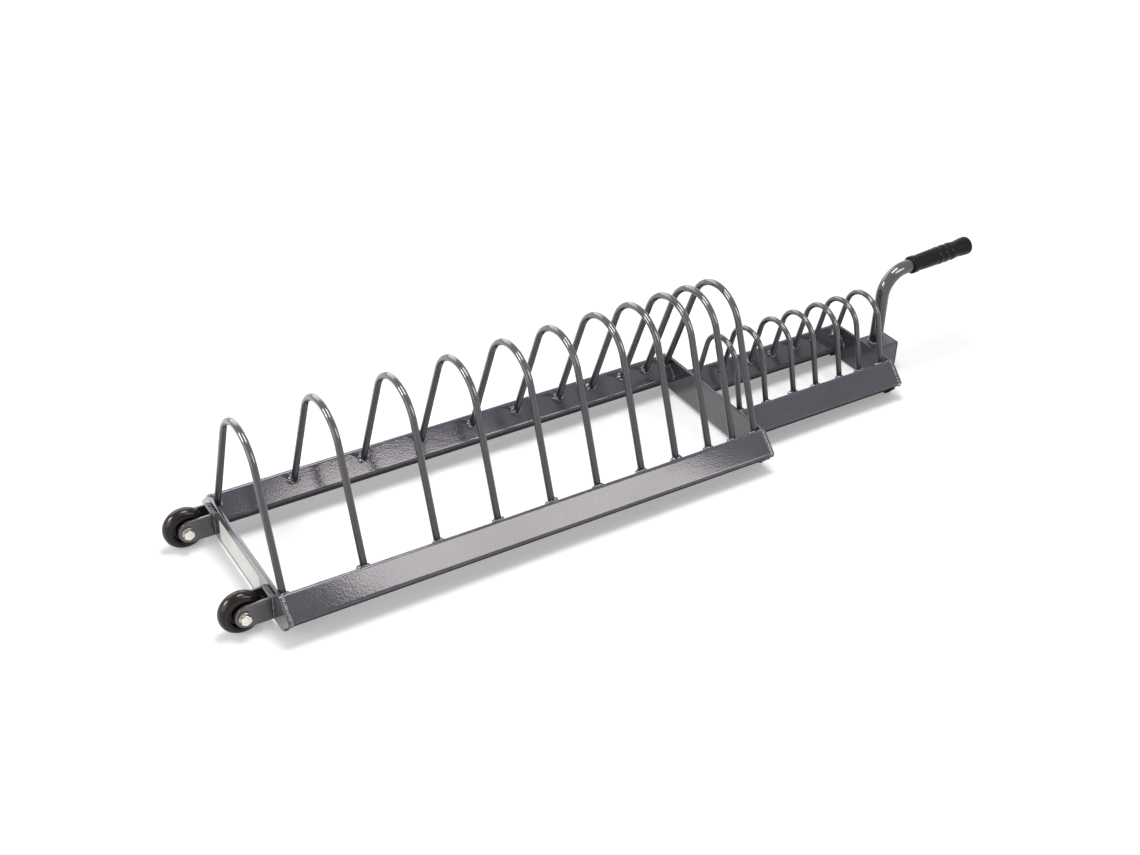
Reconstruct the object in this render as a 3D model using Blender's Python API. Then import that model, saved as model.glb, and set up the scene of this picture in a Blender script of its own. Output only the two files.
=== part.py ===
"""Wheeled floor rack for gym plates: two pairs of square rails set on edge, steel hoops between the slots,
two wheels behind one end and a lifting handle at the other.

Metres, +Z up. The cart is built level, with the undersides of its rails at z = 0, and sizes along it are
measured from the outer face of the crossbar at the wheels. At the end it is leaned onto its wheels and rubber
shoes, set on the floor at z = 0 and centred over the origin.
"""

import math

import bmesh
import bpy
from mathutils import Vector

# Stock sizes
TUBE_SIDE = 0.050
TUBE_WALL = 0.003
TUBE_CORNER = 0.005
BAR_THICKNESS = 0.006
LARGE_ROD_DIAMETER = 0.012
SMALL_ROD_DIAMETER = 0.010
FIT_GAP = 0.0003  # air between two pieces that touch

# Frame
LONG_RAIL_SPACING = 0.2984  # ridge to ridge
SHORT_RAIL_SPACING = 0.159

# Hoops over the long rails, for large plates
LARGE_RUN = 0.901  # from the first hoop to the last
LARGE_PITCHES = (138, 130, 112, 102, 91, 89, 71, 69, 52, 47)  # how the run is shared out
LARGE_FOOT_INSET = 0.0128  # from the ridge, inwards, to where a rod's axis meets the rail
LARGE_BEND_RADIUS = 0.0691
LARGE_HOOP_TOP = 0.2931

# Hoops over the short rails, for small plates
SMALL_RUN = 0.3293
SMALL_PITCHES = (59, 64, 52, 56, 47, 52)
SMALL_START_CLEARANCE = 0.004  # from the middle crossbar to the first rod
SMALL_END_CLEARANCE = 0.0055
SMALL_FOOT_INSET = 0.0137
SMALL_BEND_RADIUS = 0.0455
SMALL_HOOP_TOP = 0.1791

# Lifting handle
STUB_LENGTH = 0.064
STUB_DROP = 0.0065  # from the top of the crossbar to the top of the stub
STUB_CORNER = 0.004
STUB_CAP_THICKNESS = 0.003
HANDLE_DIAMETER = 0.0254
HANDLE_WALL = 0.002
HANDLE_SETBACK = 0.0282  # from the end crossbar to the upright's axis
HANDLE_UPRIGHT = 0.0975
HANDLE_BEND_RADIUS = 0.050
HANDLE_BEND_DEG = 87.0
HANDLE_BARE = 0.012  # straight tube between the bend and the grip

# Rubber grip
GRIP_LENGTH = 0.145
GRIP_END_WALL = 0.006
GRIP_COLLAR_LENGTH = 0.012
GRIP_COLLAR_RADIUS = 0.0168
GRIP_WAIST_RADIUS = 0.0154
GRIP_BELLY_RADIUS = 0.0165
GRIP_RIB_RADIUS = 0.0173
GRIP_RIB_PITCH = 0.015
GRIP_RIB_COUNT = 3
GRIP_FLARE_LENGTH = 0.041
GRIP_FLARE_RADIUS = 0.0177
GRIP_FLARE_ROUND = 0.007

# Wheels
FRONT_WHEEL_INSET = 0.044  # from a rail's ridge, inwards, to the middle of the wheel
REAR_WHEEL_INSET = 0.0087
WHEEL_DIAMETER = 0.075
WHEEL_WIDTH = 0.024
TREAD_CROWN = 0.009  # how far the tread falls from its middle to its sides
RIM_RADIUS = 0.0245
RIM_LIP = 0.002
RIM_WEB_THICKNESS = 0.008
HUB_WALL = 0.0035
BEARING_DIAMETER = 0.026
BEARING_WIDTH = 0.008
BEARING_RACE = 0.0025
BEARING_SEAL_RECESS = 0.0006

# Wheel brackets and axles
BRACKET_PLATE = 0.0045
BRACKET_LENGTH = 0.0632
BRACKET_HEIGHT = 0.042
BRACKET_SIDE_PLAY = 0.0015  # from the wheel to an ear
BRACKET_CORNER = 0.004
AXLE_FROM_TIP = 0.0155
AXLE_Z = 0.0252
AXLE_DIAMETER = 0.010
SLEEVE_WALL = 0.0015
SPACER_RADIUS = 0.0075
BOLT_ACROSS_FLATS = 0.017
BOLT_HEAD_HEIGHT = 0.0064
BOLT_CHAMFER = 0.0009
BOLT_END_PROUD = 0.003
NUT_HEIGHT = 0.008
WASHER_RADIUS = 0.010
WASHER_THICKNESS = 0.002

# Rubber shoes
SHOE_LENGTH = 0.010  # back from the outer face of the end crossbar
SHOE_DROP = 0.0025  # from the underside of the rails to the middle of the sole
SHOE_FLANK = 0.018  # from the rail's middle to the top of the turned-up side
SHOE_LIP = 0.0015
SHOE_SOLE_HALF = 0.005

# Facets
TUBE_CORNER_STEPS = 4
ROD_SIDES = 12
ROD_ARC_STEPS = 10
HANDLE_SIDES = 20
HANDLE_BEND_STEPS = 10
GRIP_SIDES = 20
TREAD_SIDES = 36
TREAD_STEPS = 8
ROUND_SIDES = 24
CORE_SIDES = 16  # rims, bearings, sleeves and spacers
EAR_STEPS = 12

# Sizes that follow
ROOT2 = math.sqrt(2.0)
CORNER_MIDDLE = (TUBE_SIDE / 2 - TUBE_CORNER) * ROOT2  # from a rail's axis to the centre of a corner's round
RAIL_AXIS_Z = CORNER_MIDDLE + TUBE_CORNER
RIDGE_Z = 2 * RAIL_AXIS_Z
LONG_RAIL_Y = LONG_RAIL_SPACING / 2
SHORT_RAIL_Y = SHORT_RAIL_SPACING / 2

LARGE_ROD_RADIUS = LARGE_ROD_DIAMETER / 2
SMALL_ROD_RADIUS = SMALL_ROD_DIAMETER / 2
FIRST_LARGE_X = BAR_THICKNESS + FIT_GAP + LARGE_ROD_RADIUS
MIDDLE_BAR_X = FIRST_LARGE_X + LARGE_RUN + LARGE_ROD_RADIUS + FIT_GAP
SHORT_START_X = MIDDLE_BAR_X + BAR_THICKNESS
FIRST_SMALL_X = SHORT_START_X + SMALL_START_CLEARANCE + SMALL_ROD_RADIUS
END_BAR_X = FIRST_SMALL_X + SMALL_RUN + SMALL_ROD_RADIUS + SMALL_END_CLEARANCE
STUB_X = END_BAR_X + BAR_THICKNESS + FIT_GAP
STUB_TOP_Z = RIDGE_Z - STUB_DROP
HANDLE_X = STUB_X + HANDLE_SETBACK
HANDLE_RADIUS = HANDLE_DIAMETER / 2

WHEEL_RADIUS = WHEEL_DIAMETER / 2
FRONT_WHEEL_Y = FRONT_WHEEL_INSET - LONG_RAIL_Y
REAR_WHEEL_Y = LONG_RAIL_Y - REAR_WHEEL_INSET
AXLE_RADIUS = AXLE_DIAMETER / 2
AXLE_X = AXLE_FROM_TIP - BRACKET_LENGTH
FACET_SPREAD = 1 / math.cos(math.pi / CORE_SIDES)  # keeps a faceted bore clear of what it holds
BORE_RADIUS = (AXLE_RADIUS + FIT_GAP) * FACET_SPREAD
BEARING_RADIUS = BEARING_DIAMETER / 2
EAR_INSIDE = WHEEL_WIDTH / 2 + BRACKET_SIDE_PLAY
EAR_OUTSIDE = EAR_INSIDE + BRACKET_PLATE
WASHER_START = EAR_OUTSIDE + FIT_GAP
BOLT_SEAT = WASHER_START + WASHER_THICKNESS + FIT_GAP

SHOE_X = END_BAR_X + BAR_THICKNESS - SHOE_LENGTH / 2
# Leaned by this angle about Y, the wheels and the middles of the shoes' soles stand on one level
STAND_RUN = SHOE_X - AXLE_X
STAND_RISE = AXLE_Z + SHOE_DROP
LEAN = math.asin(WHEEL_RADIUS / math.hypot(STAND_RUN, STAND_RISE)) - math.atan2(STAND_RISE, STAND_RUN)

AXIS_X = Vector((1, 0, 0))
AXIS_Y = Vector((0, 1, 0))
AXIS_Z = Vector((0, 0, 1))

# Finishes: colour, metallic, roughness, coat
FRAME_PAINT = ((0.105, 0.103, 0.122), 0.75, 0.42, 0.2)
BLACK_RUBBER = ((0.012, 0.012, 0.013), 0.0, 0.6, 0.0)
TYRE_RUBBER = ((0.016, 0.014, 0.013), 0.0, 0.25, 0.3)
BLACK_NYLON = ((0.010, 0.010, 0.011), 0.0, 0.45, 0.0)
ZINC = ((0.72, 0.70, 0.64), 1.0, 0.28, 0.0)
BEARING_STEEL = ((0.55, 0.55, 0.56), 1.0, 0.2, 0.0)


def make_material(name, finish):
    color, metallic, roughness, coat = finish
    material = bpy.data.materials.new(name)
    material.use_nodes = True
    shader = material.node_tree.nodes["Principled BSDF"]
    shader.inputs["Base Color"].default_value = (*color, 1.0)
    shader.inputs["Metallic"].default_value = metallic
    shader.inputs["Roughness"].default_value = roughness
    shader.inputs["Coat Weight"].default_value = coat
    material.diffuse_color = (*color, 1.0)
    return material


def add_solid(name, bm, finish, parent, sharp_deg=35.0):
    """Turns an edited mesh into a named object with its own material."""
    bmesh.ops.recalc_face_normals(bm, faces=bm.faces)
    mesh = bpy.data.meshes.new(name)
    bm.to_mesh(mesh)
    bm.free()
    mesh.materials.append(make_material(name + "_finish", finish))
    mesh.shade_smooth()
    mesh.set_sharp_from_angle(angle=math.radians(sharp_deg))
    obj = bpy.data.objects.new(name, mesh)
    obj.parent = parent
    bpy.context.scene.collection.objects.link(obj)
    return obj


def add_cut(obj, name, bm):
    """Cuts an object with a hidden helper that shares its place."""
    cutter = add_solid(obj.name + "_" + name, bm, FRAME_PAINT, obj)
    cutter.hide_render = True
    cutter.display_type = "WIRE"
    modifier = obj.modifiers.new(name, "BOOLEAN")
    modifier.operation = "DIFFERENCE"
    modifier.object = cutter


def add_empty(name, location, parent=None):
    empty = bpy.data.objects.new(name, None)
    empty.location = location
    empty.parent = parent
    empty.empty_display_size = 0.03
    bpy.context.scene.collection.objects.link(empty)
    return empty


def skin(rings, closed=False):
    """Mesh through rings of equally many points. Closed, the last ring joins the first; else both ends are capped."""
    bm = bmesh.new()
    rows = [[bm.verts.new(point) for point in ring] for ring in rings]
    pairs = list(zip(rows, rows[1:]))
    if closed:
        pairs.append((rows[-1], rows[0]))
    for first, second in pairs:
        for i in range(len(first)):
            bm.faces.new((first[i - 1], first[i], second[i], second[i - 1]))
    if not closed:
        bm.faces.new(rows[0])
        bm.faces.new(rows[-1])
    return bm


def ring(centre, u, v, reach, sides):
    """Points round a centre in the plane of u and v. The reach is a radius, or a function of the angle."""
    points = []
    for side in range(sides):
        angle = 2 * math.pi * side / sides
        radius = reach(angle) if callable(reach) else reach
        points.append(centre + u * (radius * math.cos(angle)) + v * (radius * math.sin(angle)))
    return points


def lathe(profile, sides, closed=False):
    """Turns (y, reach) points about the Y axis."""
    return skin([ring(AXIS_Y * y, AXIS_X, AXIS_Z, reach, sides) for y, reach in profile], closed)


def prism(outline, start, length, along, hole=None):
    """Extrudes an outline of (a, b) points along X, where they are (y, z), or along Y, where they are (x, z)."""

    def placed(points, depth):
        if along == "X":
            return [Vector((depth, a, b)) for a, b in points]
        return [Vector((a, depth, b)) for a, b in points]

    rings = [placed(outline, start), placed(outline, start + length)]
    if hole:
        rings += [placed(hole, start + length), placed(hole, start)]
    return skin(rings, closed=bool(hole))


def arc(centre, radius, start_deg, end_deg, steps):
    """Points of an arc in a plane, both ends included."""
    points = []
    for step in range(steps + 1):
        angle = math.radians(start_deg + (end_deg - start_deg) * step / steps)
        points.append((centre[0] + radius * math.cos(angle), centre[1] + radius * math.sin(angle)))
    return points


def rounded_square(centre, side, corner, first_corner_deg):
    """Outline of a square with round corners, the first corner lying in the given direction."""
    points = []
    reach = (side / 2 - corner) * ROOT2
    for quarter in range(4):
        out_deg = first_corner_deg + 90 * quarter
        out = math.radians(out_deg)
        middle = (centre[0] + reach * math.cos(out), centre[1] + reach * math.sin(out))
        points += arc(middle, corner, out_deg - 45, out_deg + 45, TUBE_CORNER_STEPS)
    return points


def add_rail(name, start_x, end_x, y, parent):
    """Square tube standing on its edge, open at both ends against the crossbars."""
    centre = (y, RAIL_AXIS_Z)
    outside = rounded_square(centre, TUBE_SIDE, TUBE_CORNER, 0)
    inside = rounded_square(centre, TUBE_SIDE - 2 * TUBE_WALL, TUBE_CORNER - TUBE_WALL, 0)
    length = end_x - start_x - 2 * FIT_GAP
    add_solid(name, prism(outside, start_x + FIT_GAP, length, "X", inside), FRAME_PAINT, parent)


def add_crossbar(name, x, rail_y, parent):
    """Flat bar over the rails' ends, its own ends cut to the shape of the rails."""
    half = []
    for out_deg, start_deg, end_deg in ((-90, -90, -45), (0, -45, 45), (90, 45, 90)):
        out = math.radians(out_deg)
        middle = (rail_y + CORNER_MIDDLE * math.cos(out), RAIL_AXIS_Z + CORNER_MIDDLE * math.sin(out))
        half += arc(middle, TUBE_CORNER, start_deg, end_deg, TUBE_CORNER_STEPS * (end_deg - start_deg) // 90)
    outline = half + [(-y, z) for y, z in reversed(half)]
    add_solid(name, prism(outline, x, BAR_THICKNESS, "X"), FRAME_PAINT, parent)


def spread(first, run, pitches):
    """Places along a run that is shared out in proportion to the pitches."""
    places = [first]
    for pitch in pitches:
        places.append(places[-1] + run * pitch / sum(pitches))
    return places


def add_hoop(name, x, rod_radius, rail_y, foot_inset, bend_radius, top, parent):
    """Rod bent over an arc. Its straight legs lean out to the rails and are cut to lie on their inner faces."""
    middle = Vector((x, 0, top - rod_radius - bend_radius))
    foot_y = rail_y - foot_inset
    foot_z = RAIL_AXIS_Z + TUBE_SIDE / ROOT2 - foot_inset
    down = middle.z - foot_z
    lean = math.atan2(foot_y, down) - math.asin(bend_radius / math.hypot(foot_y, down))

    rings = []
    for step in range(ROD_ARC_STEPS + 1):
        turn = lean + (math.pi - 2 * lean) * step / ROD_ARC_STEPS
        out = Vector((0, math.cos(turn), math.sin(turn)))
        rings.append(ring(middle + out * bend_radius, out, AXIS_X, rod_radius, ROD_SIDES))
    feet = []
    for side, last_ring in ((1, rings[0]), (-1, rings[-1])):
        leg = Vector((0, side * math.sin(lean), -math.cos(lean)))
        face_normal = Vector((0, -side, 1)) / ROOT2
        rail_axis = Vector((0, side * rail_y, RAIL_AXIS_Z))
        cut = face_normal.dot(rail_axis) + TUBE_SIDE / 2 + FIT_GAP
        slope = face_normal.dot(leg)
        feet.append([point + leg * ((cut - face_normal.dot(point)) / slope) for point in last_ring])
    add_solid(name, skin([feet[0]] + rings + [feet[1]]), FRAME_PAINT, parent)


def add_stub(parent):
    """Short length of square tube on the end crossbar, a little below its top and closed by a cap."""
    centre = (0, STUB_TOP_Z - TUBE_SIDE / 2)
    outside = rounded_square(centre, TUBE_SIDE, STUB_CORNER, 45)
    inside = rounded_square(centre, TUBE_SIDE - 2 * TUBE_WALL, STUB_CORNER - TUBE_WALL, 45)
    cap_x = STUB_X + STUB_LENGTH - STUB_CAP_THICKNESS
    tube = prism(outside, STUB_X, cap_x - FIT_GAP - STUB_X, "X", inside)
    add_solid("handle_stub", tube, FRAME_PAINT, parent)
    add_solid("handle_stub_cap", prism(outside, cap_x, STUB_CAP_THICKNESS, "X"), FRAME_PAINT, parent)


def handle_stations():
    """(point, direction) along the handle's axis: upright, bend, then the start of the straight under the grip."""
    bend_z = STUB_TOP_Z + HANDLE_UPRIGHT
    stations = [(Vector((HANDLE_X, 0, STUB_TOP_Z + FIT_GAP)), AXIS_Z)]
    for step in range(HANDLE_BEND_STEPS + 1):
        turn = math.radians(HANDLE_BEND_DEG) * step / HANDLE_BEND_STEPS
        x = HANDLE_X + HANDLE_BEND_RADIUS * (1 - math.cos(turn))
        z = bend_z + HANDLE_BEND_RADIUS * math.sin(turn)
        stations.append((Vector((x, 0, z)), Vector((math.sin(turn), 0, math.cos(turn)))))
    return stations


def add_handle(parent):
    """Round tube bent from upright to nearly level, and the rubber grip pushed over its end."""
    stations = handle_stations()
    bend_end, along = stations[-1]
    grip_start = bend_end + along * HANDLE_BARE
    stations.append((grip_start + along * (GRIP_LENGTH - GRIP_END_WALL - FIT_GAP), along))
    shells = []
    for radius in (HANDLE_RADIUS, HANDLE_RADIUS - HANDLE_WALL):
        shells.append([ring(point, way.cross(AXIS_Y), AXIS_Y, radius, HANDLE_SIDES) for point, way in stations])
    tube = skin(shells[0] + shells[1][::-1], closed=True)
    add_solid("handle_tube", tube, FRAME_PAINT, parent)

    across = along.cross(AXIS_Y)
    rings = [ring(grip_start + along * depth, across, AXIS_Y, radius, GRIP_SIDES) for depth, radius in grip_profile()]
    add_solid("handle_grip", skin(rings), BLACK_RUBBER, parent, sharp_deg=50.0)


def grip_profile():
    """(depth, radius) from the bottom of the grip's bore, out of its open end and back along the outside."""
    bore = (HANDLE_RADIUS + FIT_GAP) / math.cos(math.pi / GRIP_SIDES)
    points = [(GRIP_LENGTH - GRIP_END_WALL, bore), (0, bore)]
    edge = 0.0015
    points += arc((edge, GRIP_COLLAR_RADIUS - edge), edge, 180, 90, 3)
    points.append((GRIP_COLLAR_LENGTH - edge / 2, GRIP_COLLAR_RADIUS))
    points.append((GRIP_COLLAR_LENGTH, GRIP_WAIST_RADIUS))

    flare_start = GRIP_LENGTH - GRIP_FLARE_LENGTH
    ribs_start = flare_start - GRIP_RIB_PITCH * GRIP_RIB_COUNT
    belly_steps = 5
    for step in range(1, belly_steps + 1):
        share = step / belly_steps
        swell = (GRIP_BELLY_RADIUS - GRIP_WAIST_RADIUS) * math.sin(math.pi / 2 * share)
        points.append((GRIP_COLLAR_LENGTH + (ribs_start - GRIP_COLLAR_LENGTH) * share, GRIP_WAIST_RADIUS + swell))
    for rib in range(GRIP_RIB_COUNT):
        middle = ribs_start + GRIP_RIB_PITCH * (rib + 0.5)
        points.append((middle - 0.22 * GRIP_RIB_PITCH, GRIP_BELLY_RADIUS))
        points.append((middle - 0.10 * GRIP_RIB_PITCH, GRIP_RIB_RADIUS))
        points.append((middle + 0.10 * GRIP_RIB_PITCH, GRIP_RIB_RADIUS))
        points.append((middle + 0.22 * GRIP_RIB_PITCH, GRIP_BELLY_RADIUS))

    flare_steps = 7
    flare_run = GRIP_FLARE_LENGTH - GRIP_FLARE_ROUND
    for step in range(flare_steps + 1):
        share = step / flare_steps
        widen = (GRIP_FLARE_RADIUS - GRIP_WAIST_RADIUS) * share**2 * (3 - 2 * share)
        points.append((flare_start + flare_run * share, GRIP_WAIST_RADIUS + widen))
    dome_centre = (GRIP_LENGTH - GRIP_FLARE_ROUND, GRIP_FLARE_RADIUS - GRIP_FLARE_ROUND)
    return points + arc(dome_centre, GRIP_FLARE_ROUND, 90, 0, 5)[1:]


def add_bracket(name, y, parent):
    """Channel with round-ended ears: its web stands against the crossbar, its bolt hole is near the tips."""
    radius = BRACKET_HEIGHT / 2
    web_x = -FIT_GAP
    outline = arc((radius - BRACKET_LENGTH, AXLE_Z), radius, 90, 270, EAR_STEPS)
    outline += [(web_x, AXLE_Z - radius), (web_x, AXLE_Z + radius)]
    bm = prism(outline, -EAR_OUTSIDE, 2 * EAR_OUTSIDE, "Y")
    bends = [edge for edge in bm.edges if all(abs(v.co.x - web_x) < 1e-6 for v in edge.verts)]
    uprights = [edge for edge in bends if abs(edge.verts[0].co.z - edge.verts[1].co.z) > radius]
    bmesh.ops.bevel(bm, geom=uprights, offset=BRACKET_CORNER, segments=4, profile=0.5, affect="EDGES")
    bracket = add_solid(name, bm, FRAME_PAINT, parent)
    bracket.location = (0, y, 0)

    slot_end = web_x - BRACKET_PLATE
    beyond = BRACKET_LENGTH
    slot = [
        (-2 * beyond, AXLE_Z - beyond),
        (slot_end, AXLE_Z - beyond),
        (slot_end, AXLE_Z + beyond),
        (-2 * beyond, AXLE_Z + beyond),
    ]
    add_cut(bracket, "slot", prism(slot, -EAR_INSIDE, 2 * EAR_INSIDE, "Y"))
    hole = lathe([(-beyond, BORE_RADIUS), (beyond, BORE_RADIUS)], ROUND_SIDES)
    bmesh.ops.translate(hole, verts=hole.verts, vec=(AXLE_X, 0, AXLE_Z))
    add_cut(bracket, "bolt_hole", hole)


def hexagon(inscribed, most=math.inf):
    """Reach of a hexagon at an angle, cut back to the circle of a chamfer."""

    def reach(angle):
        sixth = math.pi / 3
        turn = (angle + sixth / 2) % sixth - sixth / 2
        return min(inscribed / math.cos(turn), most)

    return reach


def add_axle_bolt(tag, axle):
    """Hexagon bolt with its head towards -Y, and its nut."""
    flat = BOLT_ACROSS_FLATS / 2
    end_y = BOLT_SEAT + NUT_HEIGHT + BOLT_END_PROUD
    bolt = [
        (end_y, AXLE_RADIUS - BOLT_CHAMFER),
        (end_y - BOLT_CHAMFER, AXLE_RADIUS),
        (-BOLT_SEAT, AXLE_RADIUS),
        (-BOLT_SEAT, hexagon(flat)),
        (BOLT_CHAMFER - BOLT_SEAT - BOLT_HEAD_HEIGHT, hexagon(flat)),
        (-BOLT_SEAT - BOLT_HEAD_HEIGHT, hexagon(flat, flat)),
    ]
    add_solid("axle_bolt_" + tag, lathe(bolt, ROUND_SIDES), ZINC, axle, 25.0)
    nut = [
        (BOLT_SEAT, BORE_RADIUS),
        (BOLT_SEAT, hexagon(flat)),
        (BOLT_SEAT + NUT_HEIGHT - BOLT_CHAMFER, hexagon(flat)),
        (BOLT_SEAT + NUT_HEIGHT, hexagon(flat, flat)),
        (BOLT_SEAT + NUT_HEIGHT, BORE_RADIUS),
    ]
    add_solid("axle_nut_" + tag, lathe(nut, ROUND_SIDES, closed=True), ZINC, axle, 25.0)


def add_ring(name, start_y, end_y, outside, sides, axle):
    """Plain ring round the bolt."""
    profile = [(start_y, BORE_RADIUS), (start_y, outside), (end_y, outside), (end_y, BORE_RADIUS)]
    add_solid(name, lathe(profile, sides, closed=True), ZINC, axle, 25.0)


def add_tyre(name, axle):
    """Tyre with a crowned tread, flat sides and a bore that grips the rim."""
    half = WHEEL_WIDTH / 2
    profile = []
    for step in range(TREAD_STEPS + 1):
        angle = math.pi * step / TREAD_STEPS
        profile.append((-half * math.cos(angle), WHEEL_RADIUS - TREAD_CROWN * (1 - math.sin(angle))))
    bore = (RIM_RADIUS + FIT_GAP) / math.cos(math.pi / TREAD_SIDES)
    profile += [(half, bore), (-half, bore)]
    add_solid(name, lathe(profile, TREAD_SIDES, closed=True), TYRE_RUBBER, axle, 30.0)


def add_rim(name, axle):
    """Core of the wheel: outer ring, thin web, and a hub with a seat for a bearing in each face."""
    half = WHEEL_WIDTH / 2
    web = RIM_WEB_THICKNESS / 2
    draft = 0.0005
    ring_inside = RIM_RADIUS - RIM_LIP
    seat = (BEARING_RADIUS + FIT_GAP) * FACET_SPREAD
    hub = seat + HUB_WALL
    shoulder = half - BEARING_WIDTH - FIT_GAP
    right = [
        (shoulder, seat - HUB_WALL),
        (shoulder, seat),
        (half, seat),
        (half, hub - draft),
        (web, hub),
        (web, ring_inside - draft),
        (half - draft, ring_inside),
        (half - draft, RIM_RADIUS),
    ]
    profile = right + [(-y, radius) for y, radius in reversed(right)]
    add_solid(name, lathe(profile, CORE_SIDES, closed=True), BLACK_NYLON, axle, 30.0)


def add_bearing(name, side, axle):
    """Ball bearing as one ring, its seal sunk between the two races."""
    face = WHEEL_WIDTH / 2
    seal = face - BEARING_SEAL_RECESS
    inner_race = BORE_RADIUS + BEARING_RACE
    outer_race = BEARING_RADIUS - BEARING_RACE
    profile = [
        (face - BEARING_WIDTH, BORE_RADIUS),
        (face - BEARING_WIDTH, BEARING_RADIUS),
        (face, BEARING_RADIUS),
        (face, outer_race),
        (seal, outer_race),
        (seal, inner_race),
        (face, inner_race),
        (face, BORE_RADIUS),
    ]
    placed = [(side * y, radius) for y, radius in profile]
    add_solid(name, lathe(placed, CORE_SIDES, closed=True), BEARING_STEEL, axle, 25.0)


def add_wheel_set(tag, y, parent):
    """Bracket, bolt, nut, washers, spacers and sleeve, which stay still, and the wheel, which turns."""
    add_bracket("wheel_bracket_" + tag, y, parent)
    axle = add_empty(tag + "_axle", (AXLE_X, y, AXLE_Z), parent)
    add_axle_bolt(tag, axle)
    washer_end = WASHER_START + WASHER_THICKNESS
    add_ring("washer_head_" + tag, -washer_end, -WASHER_START, WASHER_RADIUS, ROUND_SIDES, axle)
    add_ring("washer_nut_" + tag, WASHER_START, washer_end, WASHER_RADIUS, ROUND_SIDES, axle)
    spacer_start = WHEEL_WIDTH / 2 + FIT_GAP
    spacer_end = EAR_INSIDE - FIT_GAP
    add_ring("spacer_head_" + tag, -spacer_end, -spacer_start, SPACER_RADIUS, CORE_SIDES, axle)
    add_ring("spacer_nut_" + tag, spacer_start, spacer_end, SPACER_RADIUS, CORE_SIDES, axle)
    sleeve_end = WHEEL_WIDTH / 2 - BEARING_WIDTH - FIT_GAP
    add_ring("axle_sleeve_" + tag, -sleeve_end, sleeve_end, BORE_RADIUS + SLEEVE_WALL, CORE_SIDES, axle)
    add_bearing("bearing_head_" + tag, -1, axle)
    add_bearing("bearing_nut_" + tag, 1, axle)
    add_tyre("tyre_" + tag, axle)
    add_rim("rim_" + tag, axle)


def floor_z(x):
    """Height of the floor under the level cart, before it is leaned."""
    return (x - SHOE_X) * math.tan(LEAN) - SHOE_DROP


def add_shoe(name, side, parent):
    """Thin rubber foot under an end of the handle's crossbar, turned up on the outer face, its sole on the floor."""
    seat = arc((0, RAIL_AXIS_Z - CORNER_MIDDLE), TUBE_CORNER + FIT_GAP, -90, -45, TUBE_CORNER_STEPS)
    seat_top = (SHOE_FLANK, RAIL_AXIS_Z - (TUBE_SIDE / 2 + FIT_GAP) * ROOT2 + SHOE_FLANK)
    lip = (seat_top[0] + SHOE_LIP, seat_top[1] - SHOE_LIP)
    rings = []
    for x in (SHOE_X - SHOE_LENGTH / 2, SHOE_X + SHOE_LENGTH / 2):
        sole = [(SHOE_SOLE_HALF, floor_z(x)), (-SHOE_SOLE_HALF, floor_z(x))]
        outline = [(-SHOE_SOLE_HALF, -FIT_GAP)] + seat + [seat_top, lip] + sole
        rings.append([Vector((x, side * (SHORT_RAIL_Y + a), z)) for a, z in outline])
    add_solid(name, skin(rings), BLACK_RUBBER, parent)


def stand_on_floor(cart):
    """Leans the cart, sets its soles on the floor and centres its outline over the origin."""
    cart.rotation_euler = (0, LEAN, 0)
    cart.location.z = SHOE_X * math.sin(LEAN) + SHOE_DROP * math.cos(LEAN)
    bpy.context.view_layer.update()
    reaches = []
    for obj in bpy.data.objects:
        if obj.type == "MESH" and not obj.hide_render:
            reaches += [(obj.matrix_world @ vert.co).x for vert in obj.data.vertices]
    cart.location.x = -(min(reaches) + max(reaches)) / 2
    bpy.context.view_layer.update()


def main():
    for obj in list(bpy.data.objects):
        bpy.data.objects.remove(obj, do_unlink=True)

    cart = add_empty("cart", (0, 0, 0))
    for side, place in ((-1, "front"), (1, "rear")):
        add_rail("long_rail_" + place, BAR_THICKNESS, MIDDLE_BAR_X, side * LONG_RAIL_Y, cart)
        add_rail("short_rail_" + place, SHORT_START_X, END_BAR_X, side * SHORT_RAIL_Y, cart)
        add_shoe("rubber_shoe_" + place, side, cart)
    add_crossbar("crossbar_wheel_end", 0, LONG_RAIL_Y, cart)
    add_crossbar("crossbar_middle", MIDDLE_BAR_X, LONG_RAIL_Y, cart)
    add_crossbar("crossbar_handle_end", END_BAR_X, SHORT_RAIL_Y, cart)

    large = (LARGE_ROD_RADIUS, LONG_RAIL_Y, LARGE_FOOT_INSET, LARGE_BEND_RADIUS, LARGE_HOOP_TOP)
    small = (SMALL_ROD_RADIUS, SHORT_RAIL_Y, SMALL_FOOT_INSET, SMALL_BEND_RADIUS, SMALL_HOOP_TOP)
    for index, x in enumerate(spread(FIRST_LARGE_X, LARGE_RUN, LARGE_PITCHES), 1):
        add_hoop(f"large_hoop_{index:02d}", x, *large, cart)
    for index, x in enumerate(spread(FIRST_SMALL_X, SMALL_RUN, SMALL_PITCHES), 1):
        add_hoop(f"small_hoop_{index}", x, *small, cart)

    add_stub(cart)
    add_handle(cart)
    add_wheel_set("front", FRONT_WHEEL_Y, cart)
    add_wheel_set("rear", REAR_WHEEL_Y, cart)
    stand_on_floor(cart)


main()
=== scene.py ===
import re

import bpy
import numpy as np
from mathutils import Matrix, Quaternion, Vector


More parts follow.
